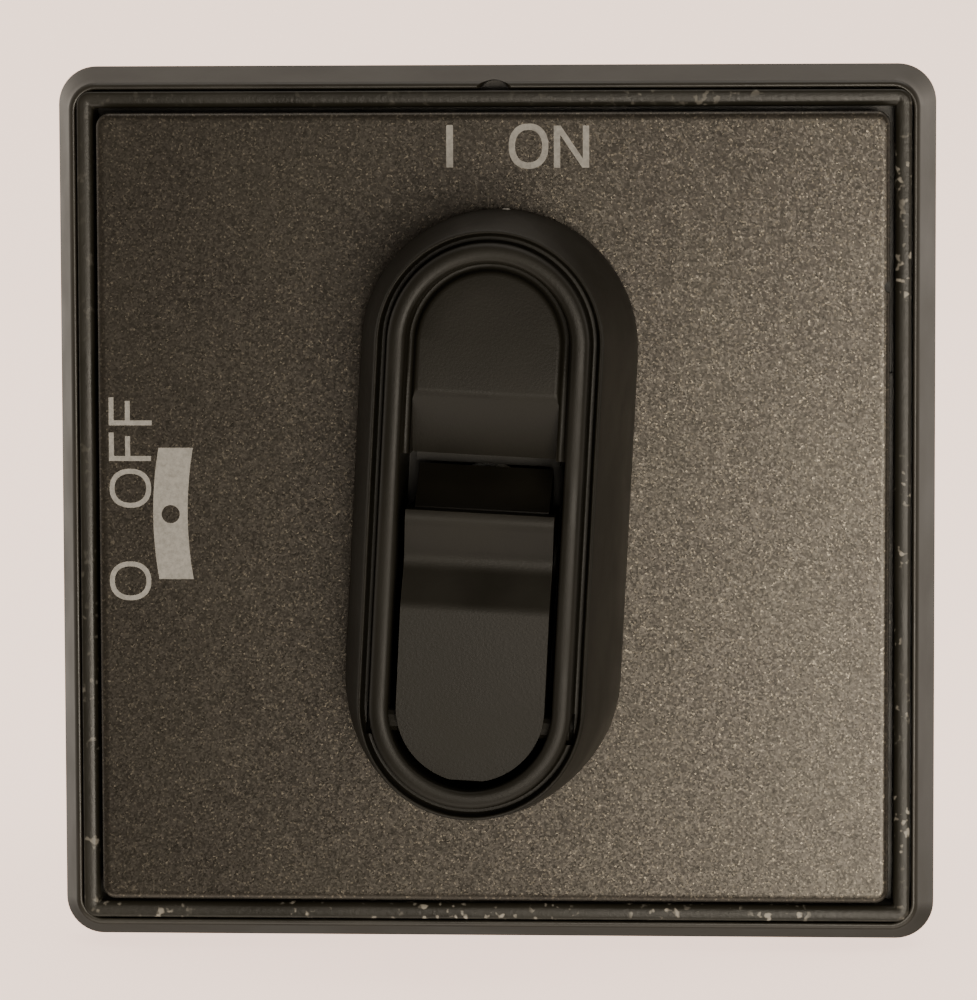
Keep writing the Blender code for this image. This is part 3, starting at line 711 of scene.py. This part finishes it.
# ---- handle ----
FOOT_S, CROWN_S = 11.0, 11.85  # where the round ends are centred, at the foot and at the top
CAVITY_W, CAVITY_S, CAVITY_FLOOR = 5.35, 11.9, 12.6
SLOT_HALF = 4.75
SLOT_END, LEVER_LIP = 4.5, 0.9
PAD_TOP = 21.0
PAD_FALL = 0.14  # how fast the upper pad drops towards its round end
PAD_LEVEL_TO = 8.9  # where that fall begins
PIN_BORE = 1.05


def pad_height(x, y):
    """The upper pad's surface: level beside the slot, then falling gently to the tip."""
    beyond = max(0.0, y - PAD_LEVEL_TO)
    return PAD_TOP - PAD_FALL * beyond**2 / (beyond + 1.0)


def knob_skin():
    """The handle's outside in one skin, from the foot over the rim and into the moat round the pad."""
    foot = [(7.6, 9.05), (7.64, 9.2), (7.74, 9.29), (7.9, 9.33)]
    rings = [(stadium(w, FOOT_S), z) for z, w in foot]
    skirt_steps = 14
    for i in range(1, skirt_steps + 1):
        t = i / skirt_steps
        rings.append((stadium(9.33 - 0.93 * t - 0.90 * t * t, FOOT_S + 0.75 * t), 7.9 + 12.5 * t))
    shoulder = [(20.55, 7.44), (20.68, 7.37), (20.74, 7.28), (20.7, 7.2), (20.55, 7.16), (20.2, 7.14)]
    groove = [(19.95, 7.1), (19.8, 6.98), (19.8, 6.78), (19.95, 6.66), (20.4, 6.62)]
    crest = [(21.1, 6.59), (21.32, 6.53), (21.48, 6.42), (21.57, 6.25), (21.6, 6.0), (21.6, 5.8)]
    lip = [(21.57, 5.6), (21.48, 5.46), (21.3, 5.37), (20.9, 5.32)]
    rings += [(stadium(w, CROWN_S), z) for z, w in shoulder + groove + crest + lip]
    moat = [(0.40, 5.27), (0.52, 5.17), (0.55, 5.03), (0.52, 4.90), (0.40, 4.80)]
    pad = [(0.20, 4.75), (0.08, 4.68), (0.02, 4.56), (0.0, 4.4), (0.0, 3.0), (0.0, 1.2)]
    for drop_by, w in moat + pad:
        rings.append((stadium(w, CROWN_S), lambda x, y, d=drop_by: pad_height(x, y) - d))
    return loft(rings, crown=FINE)


def cavity_outline(w, end):
    """Square at y = end, and round at the foot."""
    lower = arc(0, -CAVITY_S, w, 180, 360, 2 * FINE)
    right = divided(lower[-1], (w, end), 12)
    return [(w, end), (-w, end)] + divided((-w, end), lower[0], 12) + lower + right


def side_prism(outline, x0, x1):
    """An outline of (y, z) points, carried across from x0 to x1."""
    return moved(prism([outline], x0, x1), Matrix(((0, 0, 1, 0), (1, 0, 0, 0), (0, 1, 0, 0), (0, 0, 0, 1))))


def knob():
    body = knob_skin()
    above = 24.0
    cavity = loft([(cavity_outline(CAVITY_W, SLOT_END), z) for z in (CAVITY_FLOOR, above)])
    ramp = [(SLOT_END - 0.1, 18.4), (7.0, 20.13), (7.8, 20.62), (8.3, 20.9), (PAD_LEVEL_TO, 21.12)]
    ramp += [(PAD_LEVEL_TO, above), (SLOT_END - 0.1, above)]
    cut(body, cavity, side_prism(ramp, -SLOT_HALF, SLOT_HALF))
    soften(body, 0.12, 2, 42)
    collar = [(0, 8.6), (7.6, 8.6), (7.6, 5.35), (7.55, 5.3), (7.05, 5.25), (7.0, 5.2), (7.0, 4.2)]
    collar += [(7.05, 4.15), (7.5, 4.1), (7.6, 4.0), (7.6, 3.4), (7.5, 3.3), (0, 3.3)]
    join(body, turned(collar, 96))
    screw_well = disc(3.9, 10.0, CAVITY_FLOOR + 1, 0.05)
    screw_bore = disc(2.2, 8.0, 11.0, 0.05, steps=32)
    shaft_socket = slab(3.3, 3.3, 0.2, 2, 9.2, 0.05)
    pin_bore = shifted(toward_x(disc(PIN_BORE, -6.8, 6.8, 0.05, steps=32)), 0, PIVOT_Y, PIVOT_Z)
    cut(body, screw_well, screw_bore, shaft_socket, pin_bore)
    sill = rectangle(3.65, SLOT_END + 0.3, CAVITY_FLOOR - 0.3, 14.2)
    join(body, side_prism(sill, -SLOT_HALF, SLOT_HALF))
    piece(body, "knob_shell", BLACK, "handle", "knob", turn=-REST)
    pip = disc(0.26, -0.35, 0.12, 0.1, steps=24)
    toward_y(pip)
    piece(shifted(pip, 0, 20.27, 8.3), "index_pip", INK, "handle", turn=-REST)


def padlock_lever():
    """The lever: a dished lip for the finger, then a long pad with a round end."""
    width, top, tail = 4.85, 21.3, 3.75
    tail_top = top - 0.54
    corner = math.degrees(math.asin((tail_top - PIVOT_Z) / tail))
    lip = [(1.5, 20.75), (LEVER_LIP, 20.95), (0.55, 21.05), (0.2, 21.02), (-0.2, 20.88), (-1.6, 20.28)]
    dish = [(-2.1, 20.12), (-2.6, 20.1), (-3.1, 20.24), (-4.5, 20.92), (-4.95, 21.14), (-5.3, 21.26)]
    pad = [(-5.7, top), (-8.0, top - 0.1), (-11.0, top - 0.25), (-14.0, top - 0.4)]
    side = lip + dish + pad + arc(PIVOT_Y, PIVOT_Z, tail, 180 - corner, 262, 24)
    side += [(-12.4, 16.35), (-6.5, 13.5), (1.5, 13.5)]
    plan = loft([(cavity_outline(width, LEVER_LIP), z) for z in (12.0, 23.0)])
    body = combine(plan, side_prism(side, -6, 6), "INTERSECT")
    nose = [(0.5, 13.5), (2.4, 13.5), (3.2, 14.4), (3.6, 15.8), (1.0, 18.9), (0.5, 18.9)]
    join(body, side_prism(nose, -4.4, 4.4))
    soften(body, 0.42, 5, 42)
    shackle_eye = shifted(toward_x(disc(2.1, -6, 6, 0.05)), 0, -2.6, 16.6)
    pin_bore = shifted(toward_x(disc(PIN_BORE, -6, 6, 0.05, steps=32)), 0, PIVOT_Y, PIVOT_Z)
    cut(body, shackle_eye, pin_bore)
    piece(body, "padlock_lever_shell", BLACK, "lever", "padlock_lever", turn=-REST)


# ---- fasteners ----
def pan_screw(head_r, head_h, shank_r, length, pitch=0.5, plain=2.0):
    """A pan-head screw with a cross recess and a ridged thread. The head's underside is at z = 0."""
    dome = [(0, head_h)]
    for i in range(1, 9):
        a = math.pi / 2 * i / 8
        dome.append((head_r * math.sin(a) ** 0.75, head_h * (0.42 + 0.58 * math.cos(a) ** 0.8)))
    profile = dome + [(head_r, 0.12), (head_r - 0.12, 0), (shank_r, 0), (shank_r, -plain)]
    z = -plain
    while z - pitch > -length + 0.5:
        profile += [(shank_r - 0.02, z - 0.05), (shank_r * 0.8, z - pitch * 0.5), (shank_r, z - pitch)]
        z -= pitch
    profile += [(shank_r * 0.75, -length), (0, -length)]
    body = turned(profile, 40)
    depth = 0.62 * head_h
    for angle in (0, 90):
        tip = (rounded_rect(0.28, 0.30 * head_r, 0.05, 3), head_h - depth)
        root = (rounded_rect(0.40, 0.62 * head_r, 0.08, 3), head_h + 0.3)
        cut(body, moved(loft([tip, root]), Matrix.Rotation(math.radians(angle), 4, "Z")))
    return body


def screws_like(source, places):
    """Copies of one screw at (x, y, z, turn in degrees, node), each standing for its own CAD node."""
    for x, y, z, turn, cad_node in places:
        copy = hold("copy", source.data.copy())
        name = cad_node + "_fine"
        piece(copy, name, STEEL, "base", cad_node, turn=math.radians(turn), at=(x, y, z))
    drop(source)


def panel_screws():
    head = 1.6
    places = []
    for i in range(1, 5):
        name = f"panel_screw_{i}"
        (x0, x1), (y0, y1), (_, top) = span(name)
        places.append(((x0 + x1) / 2, (y0 + y1) / 2, top - head, 17 + 52 * i, name))
    length = top_of("panel_screw_1") - rear_of("panel_screw_1") - head
    screws_like(pan_screw(2.8, head, 1.45, length, plain=1.0), places)


def tie_screws():
    head = 1.8
    places = []
    for i in range(1, 5):
        name = f"tie_screw_{i}"
        (x0, x1), (y0, y1), (rear, _) = span(name)
        places.append(((x0 + x1) / 2, (y0 + y1) / 2, rear + head, 23 + 41 * i, name))
    length = top_of("tie_screw_1") - rear_of("tie_screw_1") - head
    source = moved(pan_screw(2.8, head, 1.4, length, plain=length - 6), Matrix.Rotation(math.pi, 4, "X"))
    screws_like(source, places)


def terminal_screws():
    head = 1.8
    for side, sign in (("line", 1), ("load", -1)):
        for i in range(1, 4):
            name = f"terminal_screw_{side}_{i}"
            (x0, x1), (y0, y1), (z0, z1) = span(name)
            body = pan_screw(2.8, head, 1.65, x1 - x0 - head, plain=0.3)
            moved(body, Matrix.Rotation(math.radians(20 + 37 * i), 4, "Z"))
            toward_x(body, sign)
            outer = x1 if sign > 0 else x0
            at = (outer - sign * head, (y0 + y1) / 2, (z0 + z1) / 2)
            piece(body, name + "_fine", STEEL, "base", name, at=at)


def knob_screw():
    head = 1.6
    length = top_of("knob_screw") - rear_of("knob_screw") - head
    body = pan_screw(3.3, head, 1.9, length, plain=1.0)
    at = (0, 0, top_of("knob_screw") - head)
    piece(body, "knob_screw_fine", STEEL, "handle", "knob_screw", at=at)


# ---- rear ----
def gasket():
    (_, hx), _, (low, top) = span("panel_gasket")
    body = slab(hx, hx, 2.4, low, top, 0.25)
    cut(body, hole(11.5, low - 1, top, flare=0.1, steps=64))
    for sx in (-1, 1):
        for sy in (-1, 1):
            cut(body, hole(1.9, low - 1, top, (sx * SCREW_SQUARE, sy * SCREW_SQUARE), 0.1, 32))
    piece(body, "panel_gasket_skin", RUBBER, "base", "panel_gasket")


def tie_points():
    return [centre_of(f"tie_screw_{i}")[:2] for i in range(1, 5)]


def mechanism_housing():
    """Flange, screw bosses and the block behind them, with moulded relief on the block's sides."""
    (_, flange), _, (rear, front) = span("mechanism_housing")
    hx, hy = span("pole_housing_1")[0][1], span("pole_housing_1")[1][1]
    body = slab(flange, flange, 2.0, front - 3.0, front, 0.3)
    join(body, slab(hx, hy, 1.5, rear, front - 1.0, 0.25))
    for sx in (-1, 1):
        for sy in (-1, 1):
            at = (sx * SCREW_SQUARE, sy * SCREW_SQUARE)
            join(body, disc(3.6, front - 8.0, front - 1, 0.3, at, 48))
            cut(body, hole(1.75, front - 12, front, at, 0.2, 32))
    for sign in (-1, 1):
        for y in (-12.0, 0.0, 12.0):
            web = pocket(2.6, 4.6, 0.6, hx - 0.5, hx, flare=0.2)
            cut(body, shifted(toward_x(web, sign), 0, y, (rear + front - 3.0) / 2))
    behind = rear - 1
    cut(body, disc(17.0, behind, front - 1.8, 0.1), disc(HUB_BORE, behind, front + 1, 0.05))
    for x, y in tie_points():
        cut(body, disc(TIE_BORE, behind, front - 6, 0.05, (x, y), 24))
    piece(body, "mechanism_housing_skin", GREY, "base", "mechanism_housing")


def pole_housing(i):
    """One wafer: chamber, terminal bays, wire entries with barrier ribs, and screw accesses."""
    name = f"pole_housing_{i}"
    (_, hx), (_, hy), (rear, front) = span(name)
    contact = centre_of(f"fixed_contact_line_{i}")[2]
    body = slab(hx, hy, 1.5, rear, front, 0.25)
    for sign in (-1, 1):
        for x in (TERMINAL_X - 4.3, TERMINAL_X + 4.3):
            join(body, slab(0.45, 0.55, 0.3, rear + 0.4, front - 0.4, 0.25, (sign * x, sign * (hy + 0.35))))
        side = pocket((front - rear) / 2 - 1.9, 16.0, 0.8, hx - 0.45, hx, flare=0.2)
        cut(body, shifted(toward_x(side, sign), 0, -sign * 4.0, (rear + front) / 2))
        end = pocket(3.0, 7.5, 0.5, hy - 0.5, hy, flare=0.2)
        toward_y(moved(end, Matrix.Rotation(math.pi / 2, 4, "Z")), sign)
        cut(body, shifted(end, -sign * 6.5, 0, (rear + front) / 2))
    behind = rear - 1
    cut(body, disc(15.6, behind, front - 1.6, 0.05, steps=72), disc(HUB_BORE, behind, front + 1, 0.05))
    for sign in (1, -1):
        access = hole(3.4, 19.0, hx, flare=0.35, steps=48)
        entry = pocket(2.7, 2.7, 0.5, 25.0, hy, flare=0.5)
        bay = rectangle(*sorted((sign * 10.2, sign * 19.8)), *sorted((sign * 16.2, sign * 25.4)))
        arm = rectangle(*sorted((-sign * 3.8, sign * 12.0)), *sorted((sign * 12.0, sign * 18.8)))
        cut(
            body,
            shifted(toward_x(access, sign), 0, sign * TERMINAL_Y, contact),
            shifted(toward_y(entry, sign), sign * TERMINAL_X, 0, contact),
            prism([bay], behind, front - 1.6),
            prism([arm], behind, contact + 2.6),
        )
    for x, y in tie_points():
        cut(body, disc(TIE_BORE, behind, front + 1, 0.05, (x, y), 24))
    piece(body, name + "_skin", GREY, "base", name)


def rear_cover():
    (_, hx), (_, hy), (rear, front) = span("rear_cover")
    body = slab(hx, hy, 1.5, rear, front, 0.2, low_edge=0.8)
    well = slab(12.5, 12.5, 12.0, rear - 1, rear + 0.5, 0.05, steps=16)
    boss = disc(7.0, rear + 0.1, rear + 0.9, 0.2)
    cut(body, well)
    join(body, boss)
    cut(body, disc(4.6, rear + 1.0, front + 1, 0.05, steps=48))
    for x, y in tie_points():
        cut(body, disc(TIE_BORE, rear - 1, front + 1, 0.05, (x, y), 24))
        cut(body, disc(3.5, rear - 1, rear + 0.25, 0.05, (x, y), 48))
    piece(body, "rear_cover_skin", GREY, "base", "rear_cover")


def fixed_contacts():
    """Edge-softened copies of the terminals, whose faces show in the wire entries."""
    for side in ("line", "load"):
        for i in range(1, 4):
            name = f"fixed_contact_{side}_{i}"
            body = hold("copy", frame["nodes"][name].data.copy())
            bm = bmesh.new()
            bm.from_mesh(body.data)
            bmesh.ops.scale(bm, verts=bm.verts, vec=(1 / MM, 1 / MM, 1 / MM))
            bmesh.ops.remove_doubles(bm, verts=bm.verts, dist=0.001)
            bmesh.ops.dissolve_limit(bm, angle_limit=math.radians(1), verts=bm.verts, edges=bm.edges)
            bm.to_mesh(body.data)
            bm.free()
            soften(body, 0.15, 2, 45)
            moved(body, Matrix.Rotation(-math.pi / 2, 4, "X"))
            piece(body, name + "_fine", BRASS, "base", name)


def dress_nodes():
    """Better materials for the CAD nodes that show as they are."""
    looks = {"lever_pin": BLACK, "rotor": NYLON, "detent_hub": NYLON, "shaft": SHAFT, "moving": COPPER}
    looks["collar_seal"] = RUBBER
    for name, obj in frame["nodes"].items():
        if obj.hide_render:
            continue
        material = next((look for key, look in looks.items() if name.startswith(key)), STEEL)
        for index in range(len(obj.material_slots)):
            obj.material_slots[index].material = material


# ---- stage ----
def backdrop():
    """A pale seamless bowl: a level floor that sweeps up into a wall, the same from every side.

    The low key light stands under the floor's level, so the bowl casts no shadow and lights nothing.
    """
    floor_r, sweep, wall_top = 0.95, 0.45, 1.7
    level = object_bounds()[0].z - 0.0002
    profile = [(0.0, 0.0), (floor_r, 0.0)]
    for i in range(1, 25):
        a = math.pi / 2 * i / 24
        profile.append((floor_r + sweep * math.sin(a), sweep * (1 - math.cos(a))))
    profile.append((floor_r + sweep, wall_top))
    bowl = turned([(r, z) for r, z in reversed(profile)], 128)
    bowl.name = "backdrop"
    bowl.data.shade_smooth()
    bowl.location.z = level
    material, tree, shader = shader_of("backdrop_paper", (0.80, 0.66, 0.58), 0.9)
    shader.inputs["Emission Color"].default_value = (0.80, 0.59, 0.49, 1)
    shader.inputs["Emission Strength"].default_value = 2.6
    bowl.data.materials.append(material)
    bowl.visible_diffuse = False
    bowl.visible_glossy = False
    bowl.visible_shadow = False
    bowl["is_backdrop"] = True


def area_light(name, at, size, power, color):
    """A square light that faces the switch."""
    data = bpy.data.lights.new(name, "AREA")
    data.shape = "RECTANGLE"
    data.size = data.size_y = size
    data.energy = power
    data.color = color
    light = bpy.data.objects.new(name, data)
    bpy.context.scene.collection.objects.link(light)
    light.location = at
    light.visible_camera = False
    light.rotation_euler = (-Vector(at)).to_track_quat("-Z", "Y").to_euler()


def room():
    """Light from the room: pale behind and beside the switch, dim in front, with a pale table below that."""
    world = bpy.data.worlds.new("studio")
    bpy.context.scene.world = world
    world.use_nodes = True
    tree = world.node_tree
    direction = node(tree, "SeparateXYZ", Vector=node(tree, "TexCoord").outputs["Generated"])
    depth = spread(tree, direction.outputs["Y"], 0.25, 1.0, -0.75, 0.15)
    low = spread(tree, direction.outputs["Z"], 0.25, 1.3, -0.3, 0.05)
    high = spread(tree, direction.outputs["Z"], 1.0, 0.42, 0.1, 0.6)
    strength = multiplied(tree, multiplied(tree, depth, low), high)
    in_front = spread(tree, direction.outputs["Y"], 1.5, 0.0, -0.2, 0.1)
    table = multiplied(tree, in_front, spread(tree, direction.outputs["Z"], 1.3, 0.0, -0.75, -0.5))
    total = node(tree, "Math", operation="ADD")
    tree.links.new(strength, total.inputs[0])
    tree.links.new(table, total.inputs[1])
    background = tree.nodes["Background"]
    background.inputs["Color"].default_value = (1.0, 0.89, 0.77, 1)
    tree.links.new(total.outputs["Value"], background.inputs["Strength"])


def lights():
    room()
    area_light("overhead", (0.30, 0.15, 1.9), 1.6, 9, (1.0, 0.94, 0.88))
    area_light("key_low_right", (0.105, -0.42, -0.07), 0.17, 1.28, (1.0, 0.90, 0.76))


def camera():
    """A long lens a third of a metre off, a little above and to the right of the switch's axis."""
    data = bpy.data.cameras.new("camera")
    data.sensor_width = 36.0
    data.lens = 178.6
    data.clip_start = 0.01
    data.clip_end = 20.0
    view = bpy.data.objects.new("camera", data)
    bpy.context.scene.collection.objects.link(view)
    heading, tilt, roll = (math.radians(a) for a in (3.52, 90 - 4.645, -0.197))
    view.matrix_world = (
        Matrix.Translation((0.0203, -0.34095, 0.02781))
        @ Matrix.Rotation(heading, 4, "Z")
        @ Matrix.Rotation(tilt, 4, "X")
        @ Matrix.Rotation(roll, 4, "Z")
    )
    bpy.context.scene.camera = view


camera()
base_plate()
cover_frame()
legend_plate()
printed_marks()
knob()
padlock_lever()
knob_screw()
panel_screws()
gasket()
mechanism_housing()
for pole in (1, 2, 3):
    pole_housing(pole)
rear_cover()
tie_screws()
terminal_screws()
fixed_contacts()
dress_nodes()
backdrop()
lights()
